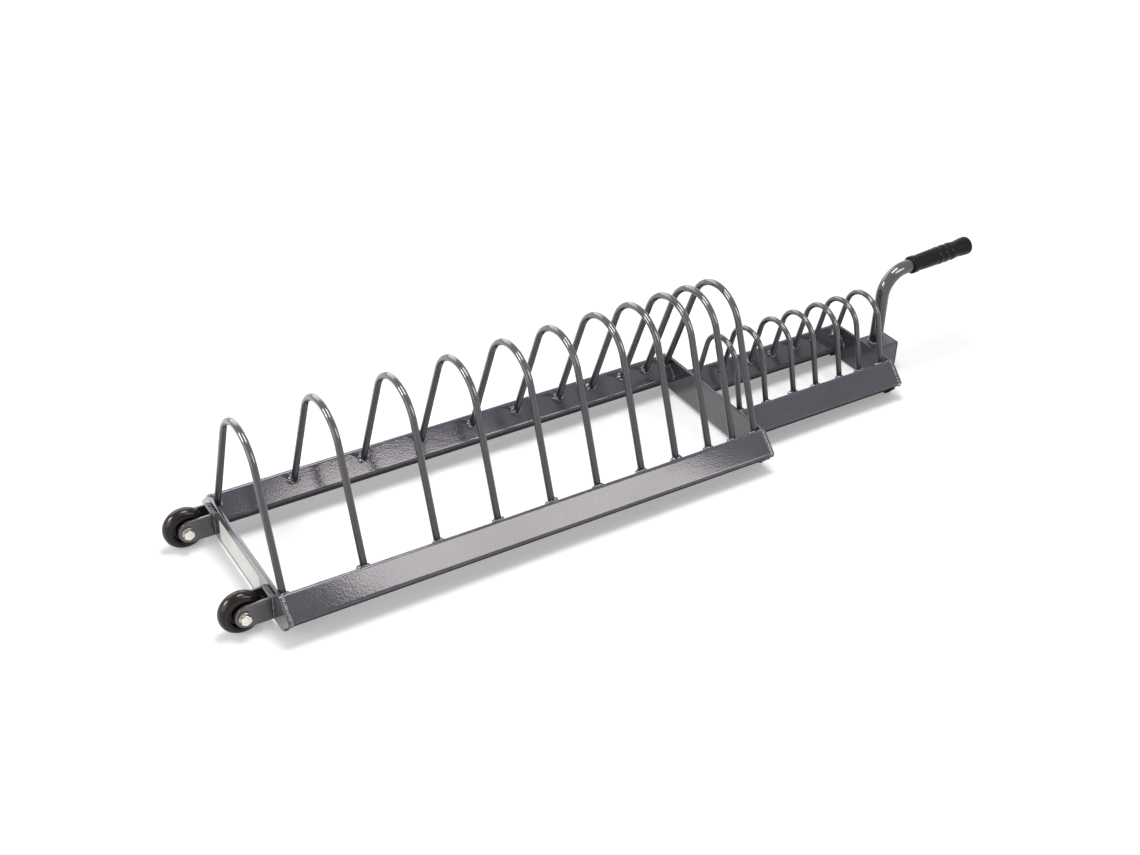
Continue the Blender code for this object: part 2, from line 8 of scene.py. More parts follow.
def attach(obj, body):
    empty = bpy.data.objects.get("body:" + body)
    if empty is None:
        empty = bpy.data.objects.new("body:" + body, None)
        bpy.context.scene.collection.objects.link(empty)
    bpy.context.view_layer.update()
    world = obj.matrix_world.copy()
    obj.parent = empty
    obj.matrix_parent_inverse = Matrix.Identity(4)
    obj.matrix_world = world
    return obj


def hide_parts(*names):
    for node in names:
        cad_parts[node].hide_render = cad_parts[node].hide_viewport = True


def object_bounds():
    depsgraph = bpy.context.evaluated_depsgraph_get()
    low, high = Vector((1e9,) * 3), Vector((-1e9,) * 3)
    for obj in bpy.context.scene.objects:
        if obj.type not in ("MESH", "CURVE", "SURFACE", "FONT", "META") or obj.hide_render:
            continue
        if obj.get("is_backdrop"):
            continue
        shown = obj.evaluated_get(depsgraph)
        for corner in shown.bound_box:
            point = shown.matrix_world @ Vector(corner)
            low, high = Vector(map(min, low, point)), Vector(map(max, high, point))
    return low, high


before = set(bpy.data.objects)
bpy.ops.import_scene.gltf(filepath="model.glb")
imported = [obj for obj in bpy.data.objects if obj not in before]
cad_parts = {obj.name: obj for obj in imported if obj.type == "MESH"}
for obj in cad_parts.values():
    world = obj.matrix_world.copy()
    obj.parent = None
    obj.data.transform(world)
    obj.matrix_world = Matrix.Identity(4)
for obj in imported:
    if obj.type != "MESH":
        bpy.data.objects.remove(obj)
cadLow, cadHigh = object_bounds()
print("solids loaded:", len(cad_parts))

scene = bpy.context.scene
scene.view_settings.view_transform = "Standard"


# Where things stand. On the level cart x starts at the outer face of the wheels' crossbar, z under the rails

cart = {
    "axleX": -0.0477,
    "axleZ": 0.0252,
    "wheelRadius": 0.0375,
    "soleX": 1.2754,
    "soleZ": -0.0025,
    "moveX": -0.71504709,
    "barThickness": 0.006,
    "middleBarX": 0.9196,
    "endBarX": 1.2744,
    "longRailY": 0.1492,
    "shortRailY": 0.0795,
    "fitGap": 0.0003,  # air between two pieces that touch
}


def standing():
    # the lean about y that brings wheels and soles to one level, asin(radius / distance) - slope from axle to
    # sole, and the rise that puts this level on the floor, sole's x * sine - its z * cosine
    run, rise = cart["soleX"] - cart["axleX"], cart["axleZ"] - cart["soleZ"]
    lean = np.arcsin(cart["wheelRadius"] / np.hypot(run, rise)) - np.arctan2(rise, run)
    return lean, cart["soleX"] * np.sin(lean) - cart["soleZ"] * np.cos(lean)


def intoRoom(points):
    # level cart to room: x' = x cos + z sin + move, z' = z cos - x sin + rise, with the lean's sine and cosine
    lean, rise = standing()
    x, y, z = np.moveaxis(np.asarray(points, float), -1, 0)
    roomX = x * np.cos(lean) + z * np.sin(lean) + cart["moveX"]
    roomZ = z * np.cos(lean) - x * np.sin(lean) + rise
    return np.stack([roomX, y, roomZ], -1)


camera = {
    "location": (-1.348294, -1.955098, 1.654578),
    "turnDeg": (56.444974, 0.139751, -29.931548),
    "lens": 50.635964,
    "sensorWidth": 36.0,
    "shift": (0.055168, -0.009695),
    "clip": (0.05, 60.0),
}


def makeCamera():
    data = bpy.data.cameras.new("camera")
    data.lens = camera["lens"]
    data.sensor_width = camera["sensorWidth"]
    data.shift_x, data.shift_y = camera["shift"]
    data.clip_start, data.clip_end = camera["clip"]
    obj = bpy.data.objects.new("camera", data)
    obj.location = camera["location"]
    obj.rotation_euler = np.radians(camera["turnDeg"])
    scene.collection.objects.link(obj)
    scene.camera = obj


makeCamera()
print("camera set")


# Mesh helpers

def solid(rings, closed=False, wear=None):
    # quads between neighbouring rings, the last ring joined to the first or both ends filled, then faced outwards
    rings = np.asarray(rings, float)
    rows, columns = rings.shape[:2]
    index = np.arange(rows * columns).reshape(rows, columns)
    here, there = (index, np.roll(index, -1, 0)) if closed else (index[:-1], index[1:])
    corners = [here, np.roll(here, -1, 1), np.roll(there, -1, 1), there]
    faces = np.stack(corners, -1).reshape(-1, 4).tolist()
    if not closed:
        faces += [index[0][::-1].tolist(), index[-1].tolist()]
    points = rings.reshape(-1, 3)
    fan = np.array([(face[0], face[k], face[k + 1]) for face in faces for k in range(1, len(face) - 1)])
    centred = points - points.mean(0)
    if np.linalg.det(centred[fan]).sum() < 0:
        faces = [face[::-1] for face in faces]
    shade = np.zeros(len(points)) if wear is None else np.broadcast_to(wear, (rows, columns)).reshape(-1)
    return {"points": points, "faces": faces, "wear": shade}


shading = {
    "sharpDeg": 38.0,
    # underSlope and underStart shape the mask of downward faces, which the paint darkens as painted shade and makes
    # matt
    "underSlope": 4.0,
    "underStart": 0.3,
    "cornerSteps": 7,
    "cornerHold": 0.0012,
    "rimSteps": 4,
    "rimHold": 0.0008,
}


def makePiece(name, parts, material, body="cart", sharpDeg=shading["sharpDeg"], hasSolid=True):
    # one object at the origin, its place in its mesh, with two attributes for its finish: wear is the share of
    # rubbed edge, under = -slope * normal's z - start, held between 0 and 1, which marks downward faces for painted
    # shade and a matt finish; its solid has the same name in another spelling, long_rail_front for longRailFront
    parts = parts if isinstance(parts, list) else [parts]
    starts = np.cumsum([0] + [len(part["points"]) for part in parts])
    points = intoRoom(np.concatenate([part["points"] for part in parts]))
    faces = [[int(start) + i for i in face] for start, part in zip(starts, parts) for face in part["faces"]]
    mesh = bpy.data.meshes.new(name)
    mesh.from_pydata(points.tolist(), [], faces)
    mesh.polygons.foreach_set("use_smooth", np.ones(len(mesh.polygons), bool))
    facing = np.zeros(3 * len(mesh.vertices))
    mesh.vertex_normals.foreach_get("vector", facing)
    wear = np.concatenate([part["wear"] for part in parts])
    under = np.clip(-shading["underSlope"] * facing[2::3] - shading["underStart"], 0, 1)
    for key, values in (("wear", wear), ("under", under)):
        mesh.attributes.new(key, "FLOAT", "POINT")
        mesh.attributes[key].data.foreach_set("value", values)
    mesh.set_sharp_from_angle(angle=np.radians(sharpDeg))
    mesh.materials.append(material)
    obj = bpy.data.objects.new(name, mesh)
    scene.collection.objects.link(obj)
    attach(obj, body)
    if hasSolid:
        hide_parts(re.sub(r"([A-Z]|(?<!\d)\d)", r"_\1", name).lower())


def arc(radius, startDeg, endDeg, steps):
    # points and outward directions of an arc about the origin of a plane
    angle = np.radians(np.linspace(startDeg, endDeg, steps + 1))
    out = np.stack([np.cos(angle), np.sin(angle)], 1)
    return out * radius, out


def circle(sides):
    # angles once round, with their cosines and sines
    angle = 2 * np.pi * np.arange(sides) / sides
    return angle, np.cos(angle), np.sin(angle)


def joined(rounds, radius, steps):
    # outline and outward directions from rounds that straights join, each given by its middle, start and end
    bits = [arc(radius, startDeg, endDeg, steps) for _, startDeg, endDeg in rounds]
    outline = np.vstack([middle + spots for (middle, _, _), (spots, _) in zip(rounds, bits)])
    return outline, np.vstack([outs for _, outs in bits])


def sectionAt(outline, x):
    # an outline of (y, z) at one place along x
    return np.column_stack([np.full(len(outline), x), outline])


def roundedSquare(side, corner, firstCornerDeg, steps=shading["cornerSteps"], hold=shading["cornerHold"]):
    # square outline with round corners and a point close beside each round, which keeps its flats shaded flat
    points, outs, wear = [], [], []
    for quarter in range(4):
        outDeg = firstCornerDeg + 90 * quarter
        reach = (side / 2 - corner) * np.sqrt(2)
        middle = reach * np.array([np.cos(np.radians(outDeg)), np.sin(np.radians(outDeg))])
        spots, ways = arc(corner, outDeg - 45, outDeg + 45, steps)
        before = spots[0] + hold * np.array([ways[0][1], -ways[0][0]])
        after = spots[-1] - hold * np.array([ways[-1][1], -ways[-1][0]])
        points.append(middle + np.vstack([before, spots, after]))
        outs.append(np.vstack([ways[0], ways, ways[-1]]))
        wear.append(np.sin(np.linspace(0, np.pi, steps + 3)) ** 2)
    return np.vstack(points), np.vstack(outs), np.concatenate(wear)


def hollow(sections, middle):
    # hollow bar from (outline, place along x, wear) of each section, outside and inside joined at both ends
    rings = [sectionAt(outline + middle, at) for outline, at, _ in sections]
    return solid(rings, True, np.stack([wear for _, _, wear in sections]))


def rims(thickness, edge, steps, hold):
    # depth, inset and wear of a plate's section, both rims rounded by stepping the outline inwards, with a line
    # close beside each round, which keeps the flats shaded flat
    turn = np.radians(np.linspace(0, 90, steps + 1))
    depth = np.concatenate([[0], edge * (1 - np.cos(turn))])
    inset = np.concatenate([[edge + hold], edge * (1 - np.sin(turn))])
    wear = np.nan_to_num(np.concatenate([[0], np.sin(2 * turn) ** 0.5]))
    both = [np.concatenate([row, row[::-1]]) for row in (inset, wear)]
    return np.concatenate([depth, thickness - depth[::-1]]), *both


def slab(outline, outs, start, thickness, edge, steps=shading["rimSteps"], hold=shading["rimHold"]):
    # flat plate from an outline and its outward directions
    depth, inset, wear = rims(thickness, edge, steps, hold)
    flat = outline[None] - inset[:, None, None] * outs[None]
    rings = [sectionAt(points, start + at) for points, at in zip(flat, depth)]
    return solid(rings, wear=wear[:, None])


def turned(along, radius, centre, sides):
    # rings about an axis through the centre, parallel to y, each with one radius or one for every side
    _, cosines, sines = circle(sides)
    along = np.reshape(along, (-1, 1)) + 0 * cosines
    return np.stack([radius * cosines + 0 * along, along, radius * sines + 0 * along], -1) + centre


def lathe(profile, centre, sides):
    # closed profile of (along, radius) points turned about that axis
    profile = np.asarray(profile, float)
    return solid(turned(profile[:, 0], profile[:, 1:], centre, sides), True)


def carried(path, ahead, planeNormal, radius, sides):
    # rings about the points of a path that lies in one plane, square to its direction ahead
    _, cosines, sines = circle(sides)
    normal = np.asarray(planeNormal, float)
    out = cosines[None, :, None] * np.cross(ahead, normal)[:, None] + sines[None, :, None] * normal
    return path[:, None] + np.broadcast_to(radius, len(path))[:, None, None] * out


def tube(path, planeNormal, radius, sides, closed=False):
    # rings carried along a path, their directions worked out from its points
    ahead = np.roll(path, -1, 0) - np.roll(path, 1, 0) if closed else np.gradient(path, axis=0)
    return carried(path, ahead / np.linalg.norm(ahead, axis=1)[:, None], planeNormal, radius, sides)


# Materials

def newMaterial(name):
    material = bpy.data.materials.new(name)
    material.use_nodes = True
    return material, material.node_tree, material.node_tree.nodes["Principled BSDF"]


def feed(tree, node, inputs):
    # sets a node's inputs to values or to other nodes' outputs
    for key, value in inputs.items():
        if isinstance(value, bpy.types.NodeSocket):
            tree.links.new(value, node.inputs[key])
        else:
            node.inputs[key].default_value = value


def addNode(tree, kind, inputs=None, **settings):
    # a node with its settings and its inputs
    node = tree.nodes.new(kind)
    for key, value in settings.items():
        setattr(node, key, value)
    feed(tree, node, inputs or {})
    return node


def noiseOf(tree, place, perMetre, detail, roughness=0.5):
    wanted = {"Vector": place, "Scale": perMetre, "Detail": detail, "Roughness": roughness}
    return addNode(tree, "ShaderNodeTexNoise", wanted).outputs["Fac"]


def spreadOf(tree, value, low, high, toLow=0.0, toHigh=1.0):
    # maps a value from one range to another, held inside it
    wanted = {"Value": value, "From Min": low, "From Max": high, "To Min": toLow, "To Max": toHigh}
    return addNode(tree, "ShaderNodeMapRange", wanted, clamp=True).outputs["Result"]


def spotsOf(tree, place, noise, toLow, toHigh):
    # a noise, the part of its range that counts spread from one value to another
    perMetre, detail, roughness, low, high = noise
    return spreadOf(tree, noiseOf(tree, place, perMetre, detail, roughness), low, high, toLow, toHigh)


def mathOf(tree, first, second, operation="MULTIPLY"):
    node = addNode(tree, "ShaderNodeMath", {0: first, 1: second}, operation=operation)
    return node.outputs[0]


def blendOf(tree, share, first, second):
    # colour mix, the share being a number or an output
    first, second = [value if isinstance(value, bpy.types.NodeSocket) else (*value, 1.0)
                     for value in (first, second)]
    return addNode(tree, "ShaderNodeMix", {0: share, 6: first, 7: second}, data_type="RGBA").outputs[2]


def bumpOf(tree, height, strength, distance, normal=None):
    wanted = {"Height": height, "Strength": strength, "Distance": distance}
    if normal:
        wanted["Normal"] = normal
    return addNode(tree, "ShaderNodeBump", wanted).outputs["Normal"]


def objectPlace(tree):
    return addNode(tree, "ShaderNodeTexCoord").outputs["Object"]


paint = {
    "color": (0.080, 0.0755, 0.097),
    "deepColor": (0.045, 0.0425, 0.055),
    "flakeColor": (0.17, 0.17, 0.185),
    # rubbed colour: real edge wear on the bars, and on the weld beads partly painted highlight
    "rubbedAndHighlightColor": (0.19, 0.19, 0.205),
    # painted shade: the dark colour that downward faces are blended towards
    "underShadeColor": (0.018, 0.016, 0.018),
    "roughness": (0.05, 0.085),
    "gloss": 0.5,
    "wornRoughness": 0.25,
    "underRoughness": 0.5,
    "underGloss": 0.02,
    "underShadeShare": 0.75,
    # noises: how many per metre, detail, roughness, and the part of the noise's range that counts
    "cloud": (9.0, 3.0, 0.5, 0.3, 0.7),
    "cloudShare": 0.45,
    "speck": (640.0, 1.0, 0.5, 0.35, 0.65),
    "speckShare": 0.55,
    "flake": (2300.0, 1.0, 0.5, 0.52, 0.78),
    "ragged": (85.0, 5.0, 0.65, 0.42, 0.66),
    "patch": (38.0, 4.0, 0.5, 0.3, 0.7),
    "peel": (300.0, 2.0),
    "peelDepth": 0.00042,
    "grain": (2300.0, 1.0),
    "grainDepth": 0.0001,
    "coatRoughness": 0.11,
    "kinds": {
        # peel and grain of the skin, rubbed edges, flakes, roughness against the rails', tint and its share,
        # metallic, clear gloss on top
        "framePaint": {"peel": 0.2, "grain": 0.05, "rubbed": 0.3, "flakes": 0.35, "roughBy": 1.0,
                       "tint": (0.27, 0.27, 0.29), "tintShare": 0.0, "metallic": 0.15, "coat": 0.0},
        "rodPaint": {"peel": 0.12, "grain": 0.05, "rubbed": 0.3, "flakes": 0.35, "roughBy": 1.0,
                     "tint": (0.054, 0.047, 0.055), "tintShare": 0.8, "metallic": 0.15, "coat": 0.75},
        # the welds' lighter tint, extra flakes and strong rubbing are partly real rubbed metal and partly painted
        # highlight on the lumps
        "weldPaint": {"peel": 0.4, "grain": 0.25, "rubbed": 0.9, "flakes": 0.9, "roughBy": 1.8,
                      "tint": (0.27, 0.27, 0.29), "tintShare": 0.65, "metallic": 0.55, "coat": 0.0},
    },
}


def makePaint(name):
    # glossy powder coat: slow cloudiness, fine specks and flakes, pebbled skin, edges rubbed a little brighter,
    # matt undersides darkened with painted shade
    kind = paint["kinds"][name]
    material, tree, shader = newMaterial(name)
    place = objectPlace(tree)
    cloud = spotsOf(tree, place, paint["cloud"], 0.0, paint["cloudShare"])
    speck = spotsOf(tree, place, paint["speck"], 0.0, paint["speckShare"])
    color = blendOf(tree, mathOf(tree, cloud, speck, "ADD"), paint["deepColor"], paint["color"])
    flake = spotsOf(tree, place, paint["flake"], 0.0, kind["flakes"])
    color = blendOf(tree, flake, blendOf(tree, kind["tintShare"], color, kind["tint"]), paint["flakeColor"])
    wear = addNode(tree, "ShaderNodeAttribute", attribute_name="wear").outputs["Fac"]
    ragged = spotsOf(tree, place, paint["ragged"], 0.0, 1.0)
    worn = mathOf(tree, mathOf(tree, wear, ragged), kind["rubbed"])
    # rubbed edges lighter; on the weld beads this is partly painted highlight
    color = blendOf(tree, worn, color, paint["rubbedAndHighlightColor"])
    under = addNode(tree, "ShaderNodeAttribute", attribute_name="under").outputs["Fac"]
    # painted shade: downward faces darkened towards the under colour
    color = blendOf(tree, mathOf(tree, under, paint["underShadeShare"]), color, paint["underShadeColor"])
    low, high = (kind["roughBy"] * value for value in paint["roughness"])
    patch = spotsOf(tree, place, paint["patch"], low, high)
    wornRougher = mathOf(tree, worn, paint["wornRoughness"])
    rougher = mathOf(tree, wornRougher, mathOf(tree, under, paint["underRoughness"]), "ADD")
    rough = mathOf(tree, patch, rougher, "ADD")
    gloss = spreadOf(tree, under, 0.0, 1.0, paint["gloss"], paint["underGloss"])
    metallic = spreadOf(tree, under, 0.0, 1.0, kind["metallic"], 0.0)
    skin = bumpOf(tree, noiseOf(tree, place, *paint["peel"]), kind["peel"], paint["peelDepth"])
    skin = bumpOf(tree, noiseOf(tree, place, *paint["grain"]), kind["grain"], paint["grainDepth"], skin)
    feed(tree, shader, {"Base Color": color, "Roughness": rough, "Specular IOR Level": gloss,
                        "Metallic": metallic, "Normal": skin})
    if kind["coat"]:
        feed(tree, shader, {"Coat Weight": kind["coat"], "Coat Roughness": paint["coatRoughness"],
                            "Coat Normal": skin})
    return material


families = {
    # a stain noise and a patch noise, given as for the paint, then detail and depth of the bumps
    "rubber": {"stain": (60.0, 5.0, 0.6, 0.45, 0.75), "patch": (140.0, 3.0, 0.5, 0.3, 0.7),
               "bump": (3.0, 0.0004), "metallic": 0.0, "sheen": (1.0, 0.92, 0.87)},
    "metal": {"stain": (260.0, 4.0, 0.6, 0.35, 0.68), "patch": (500.0, 3.0, 0.5, 0.3, 0.7),
              "bump": (2.0, 0.0002), "metallic": 1.0, "sheen": (1.0, 1.0, 1.0)},
    "vinyl": {"stain": (40.0, 5.0, 0.6, 0.45, 0.8), "patch": (300.0, 3.0, 0.5, 0.3, 0.7),
              "bump": (2.0, 0.0006), "metallic": 0.0, "sheen": (1.0, 1.0, 1.0)},
}
blacks = (0.0045, 0.0043, 0.0043), (0.009, 0.0085, 0.0085)
plain = {
    # family, colour and stain colour, two roughnesses, bumps per metre and their strength, gloss
    "gripRubber": ("rubber", *blacks, (0.26, 0.36), (1500.0, 0.2), 0.16),
    "shoeRubber": ("rubber", *blacks, (0.55, 0.7), (900.0, 0.3), 0.25),
    "tyreRubber": ("rubber", (0.0035, 0.0028, 0.0025), (0.0075, 0.006, 0.0054), (0.16, 0.24), (700.0, 0.05), 0.34),
    "rimNylon": ("rubber", *blacks, (0.36, 0.48), (1100.0, 0.1), 0.3),
    "zincPlate": ("metal", (0.78, 0.755, 0.69), (0.58, 0.57, 0.53), (0.2, 0.36), (1800.0, 0.12), 0.5),
    "bearingSteel": ("metal", (0.56, 0.56, 0.57), (0.36, 0.36, 0.37), (0.18, 0.3), (2400.0, 0.12), 0.5),
    "labelVinyl": ("vinyl", (0.70, 0.70, 0.685), (0.62, 0.615, 0.59), (0.32, 0.45), (110.0, 0.2), 0.5),
}


def makePlain(name):
    # even material: dust, cloudy plating or stains, patchy roughness, and fine pebbles, turning marks or waves
    family, color, stainColor, roughness, (perMetre, strength), gloss = plain[name]
    family = families[family]
    detail, depth = family["bump"]
    material, tree, shader = newMaterial(name)
    place = objectPlace(tree)
    color = blendOf(tree, spotsOf(tree, place, family["stain"], 0.0, 1.0), color, stainColor)
    rough = spotsOf(tree, place, family["patch"], *roughness)
    skin = bumpOf(tree, noiseOf(tree, place, perMetre, detail), strength, depth)
    feed(tree, shader, {"Base Color": color, "Roughness": rough, "Normal": skin, "Metallic": family["metallic"],
                        "Specular IOR Level": gloss, "Specular Tint": (*family["sheen"], 1.0)})
    return material


framePaint, rodPaint, weldPaint = [makePaint(name) for name in paint["kinds"]]
gripRubber, shoeRubber, tyreRubber, rimNylon, zincPlate, bearingSteel, labelVinyl = [
    makePlain(name) for name in plain]
print("materials made")


# Rails and crossbars

rail = {
    "side": 0.050,
    "wall": 0.003,
    "corner": 0.005,
    "longFrom": cart["barThickness"],
    "longTo": cart["middleBarX"],
    "shortFrom": cart["middleBarX"] + cart["barThickness"],
    "shortTo": cart["endBarX"],
}
# a corner round's middle stands this far from the rail's axis, and the lowest round touches z = 0
cornerReach = (rail["side"] / 2 - rail["corner"]) * np.sqrt(2)
railAxisZ = cornerReach + rail["corner"]


def makeRail(size, place, side):
    # round-cornered square on its edge, carried along x
    outer, _, wear = roundedSquare(rail["side"], rail["corner"], 0)
    inner, _, _ = roundedSquare(rail["side"] - 2 * rail["wall"], rail["corner"] - rail["wall"], 0)
    middle = np.array([side * cart[size + "RailY"], railAxisZ])
    start, end = rail[size + "From"] + cart["fitGap"], rail[size + "To"] - cart["fitGap"]
    shape = hollow([(outer, start, wear), (outer, end, wear), (inner, end, 0 * wear), (inner, start, 0 * wear)],
                   middle)
    makePiece(size + "Rail" + place, shape, framePaint)


for place, side in (("Front", -1), ("Rear", 1)):
    makeRail("long", place, side)
    makeRail("short", place, side)

crossbar = {
    "edge": 0.0009,
    "steps": 8,
}


def crossbarOutline(railY):
    # three corner rounds of the rail's outline at each end, joined by straights
    rounds = [(np.array([railY + cornerReach * across, railAxisZ + cornerReach * up]), startDeg, endDeg)
              for across, up, startDeg, endDeg in ((0, -1, -90, -45), (1, 0, -45, 45), (0, 1, 45, 90))]
    spots, ways = joined(rounds, rail["corner"], crossbar["steps"])
    mirror = np.array([-1, 1])
    return np.vstack([spots, spots[::-1] * mirror]), np.vstack([ways, ways[::-1] * mirror])


for name, start, railY, finish in (
    ("crossbarWheelEnd", 0.0, cart["longRailY"], rodPaint),
    ("crossbarMiddle", rail["longTo"], cart["longRailY"], rodPaint),
    ("crossbarHandleEnd", rail["shortTo"], cart["shortRailY"], framePaint),
):
    outline, outs = crossbarOutline(railY)
    bar = slab(outline, outs, start, cart["barThickness"], crossbar["edge"])
    makePiece(name, bar, finish)
print("rails and crossbars made")


# Hoops

hoops = {
    "sides": 28,
    "bendSteps": 44,
    "large": {
        "from": rail["longFrom"] + cart["fitGap"],
        "to": rail["longTo"] - cart["fitGap"],
        "pitches": (138, 130, 112, 102, 91, 89, 71, 69, 52, 47),
        "rodRadius": 0.006,
        "railY": cart["longRailY"],
        "footInset": 0.0128,
        "bendRadius": 0.0691,
        "top": 0.2931,
    },
    "small": {
        "from": rail["shortFrom"] + 0.004,
        "to": rail["shortTo"] - 0.0055,
        "pitches": (59, 64, 52, 56, 47, 52),
        "rodRadius": 0.005,
        "railY": cart["shortRailY"],
        "footInset": 0.0137,
        "bendRadius": 0.0455,
        "top": 0.1791,
    },
}


def hoopPlaces(kind):
    # from the first rod to the last, between two stops, the run shared out in proportion to the pitches
    first = kind["from"] + kind["rodRadius"]
    run = kind["to"] - kind["rodRadius"] - first
    return first + run * np.cumsum((0, *kind["pitches"])) / sum(kind["pitches"])


def footPlane(kind, side):
    # a rail's inner upper face: its outward direction and its distance from the origin
    normal = np.array([0, -side, 1]) / np.sqrt(2)
    axis = np.array([0, side * kind["railY"], railAxisZ])
    return normal, normal @ axis + rail["side"] / 2


def footOf(kind):
    # where a leg meets the rail, its lean, tangent to the bend, and the height of the bend's middle
    footY = kind["railY"] - kind["footInset"]
    footZ = railAxisZ + rail["side"] / np.sqrt(2) - kind["footInset"]
    bendZ = kind["top"] - kind["rodRadius"] - kind["bendRadius"]
    down = bendZ - footZ
    lean = np.arctan2(footY, down) - np.arcsin(kind["bendRadius"] / np.hypot(footY, down))
    return footY, footZ, lean, bendZ


def makeHoop(name, x, kind):
    # circle carried over an arc, then down two straight legs that are cut where they meet the rails
    _, _, lean, bendZ = footOf(kind)
    middle = np.array([x, 0, bendZ])
    turn = np.linspace(lean, np.pi - lean, hoops["bendSteps"] + 1)[:, None]
    out = np.concatenate([0 * turn, np.cos(turn), np.sin(turn)], 1)
    _, cosines, sines = circle(hoops["sides"])
    across = cosines[:, None, None] * out + sines[:, None, None] * np.array([1, 0, 0])
    rings = middle + (out * kind["bendRadius"])[:, None] + kind["rodRadius"] * across.transpose(1, 0, 2)
    feet = []
    for side, last in ((1, rings[0]), (-1, rings[-1])):
        leg = np.array([0, side * np.sin(lean), -np.cos(lean)])
        normal, distance = footPlane(kind, side)
        reach = (distance + cart["fitGap"] - last @ normal) / (normal @ leg)
        feet.append(last + reach[:, None] * leg)
    rings = np.concatenate([feet[0][None], rings, feet[1][None]])
    makePiece(name, solid(rings), rodPaint)


for size, form in (("large", "{:02d}"), ("small", "{}")):
    for number, x in enumerate(hoopPlaces(hoops[size]), 1):
        makeHoop(size + "Hoop" + form.format(number), x, hoops[size])
print("hoops made")


# Stub, handle and grip

stub = {
    "start": cart["endBarX"] + cart["barThickness"] + cart["fitGap"],
    "length": 0.064,
    "side": rail["side"],
    "corner": 0.004,
    "top": 2 * railAxisZ - 0.0065,
    "cap": 0.003,
    "edge": 0.0007,
    "endDraw": 0.35,  # share of the edge by which the open end is drawn in
}


def makeStub():
    # round-cornered square carried along x, hollow, its far end closed by a cap of the same outline
    outline, outs, wear = roundedSquare(stub["side"], stub["corner"], 45)
    inner, _, _ = roundedSquare(stub["side"] - 2 * rail["wall"], stub["corner"] - rail["wall"], 45)
    middle = np.array([0, stub["top"] - stub["side"] / 2])
    capX = stub["start"] + stub["length"] - stub["cap"]
    end = capX - cart["fitGap"]
    drawn = outline - stub["endDraw"] * stub["edge"] * outs
    shape = hollow([(outline, stub["start"], wear), (outline, end - stub["edge"], wear), (drawn, end, wear),
                    (inner, end, 0 * wear), (inner, stub["start"], 0 * wear)], middle)
    makePiece("handleStub", shape, framePaint)
    cap = slab(outline + middle, outs, capX, stub["cap"], stub["edge"])
    makePiece("handleStubCap", cap, framePaint)


makeStub()

handle = {
    "x": stub["start"] + 0.0282,
    "radius": 0.0127,
    "wall": 0.002,
    "upright": 0.0975,
    "bendRadius": 0.050,
    "bendDeg": 87.0,
    "bare": 0.012,
    "sides": 48,
    "bendSteps": 36,
}

grip = {
    "length": 0.145,
    "endWall": 0.006,
    "collarLength": 0.012,
    "collarRadius": 0.0168,
    "waistRadius": 0.0154,
    "bellyRadius": 0.0165,
    "ribRadius": 0.0173,
    "ribPitch": 0.015,
    "ribCount": 3,
    "flareLength": 0.041,
    "flareRadius": 0.0177,
    "flareRound": 0.007,
    "recessRadius": 0.0095,
    "recessDepth": 0.004,
    "recessBreak": 0.0005,
    "recessDish": 0.0003,
    "recessDraft": 0.0014,
    "bevel": 0.0006,
    "mouthRound": 0.0015,
    "collarRound": 0.0012,
    "collarFillet": 0.0002,
    "swellSteps": 14,
    "ribSteps": 22,
    "ribHalfWidth": 0.2,
    "ribFullness": 0.7,
    "flareSteps": 18,
    "flareSettle": 0.2,
    "sides": 72,
    "sharpDeg": 50.0,
}


def handleAxis():
    # points and directions: upright, bend, then straight on under the grip
    turn = np.radians(np.linspace(0, handle["bendDeg"], handle["bendSteps"] + 1))
    bendZ = stub["top"] + handle["upright"]
    x = handle["x"] + handle["bendRadius"] * (1 - np.cos(turn))
    z = bendZ + handle["bendRadius"] * np.sin(turn)
    bend = np.stack([x, 0 * x, z], 1)
    ways = np.stack([np.sin(turn), 0 * turn, np.cos(turn)], 1)
    foot = np.array([[handle["x"], 0, stub["top"] + cart["fitGap"]]])
    gripStart = bend[-1] + ways[-1] * handle["bare"]
    end = gripStart + ways[-1] * (grip["length"] - grip["endWall"] - cart["fitGap"])
    points = np.vstack([foot, bend, end[None]])
    return points, np.vstack([ways[:1], ways, ways[-1:]]), gripStart, ways[-1]


def makeHandle():
    # outer and inner circles carried along the axis and joined at both ends
    points, ways, _, _ = handleAxis()
    outer, inner = [carried(points, ways, [0, 1, 0], radius, handle["sides"])
                    for radius in (handle["radius"], handle["radius"] - handle["wall"])]
    makePiece("handleTube", solid(np.concatenate([outer, inner[::-1]]), True), rodPaint)


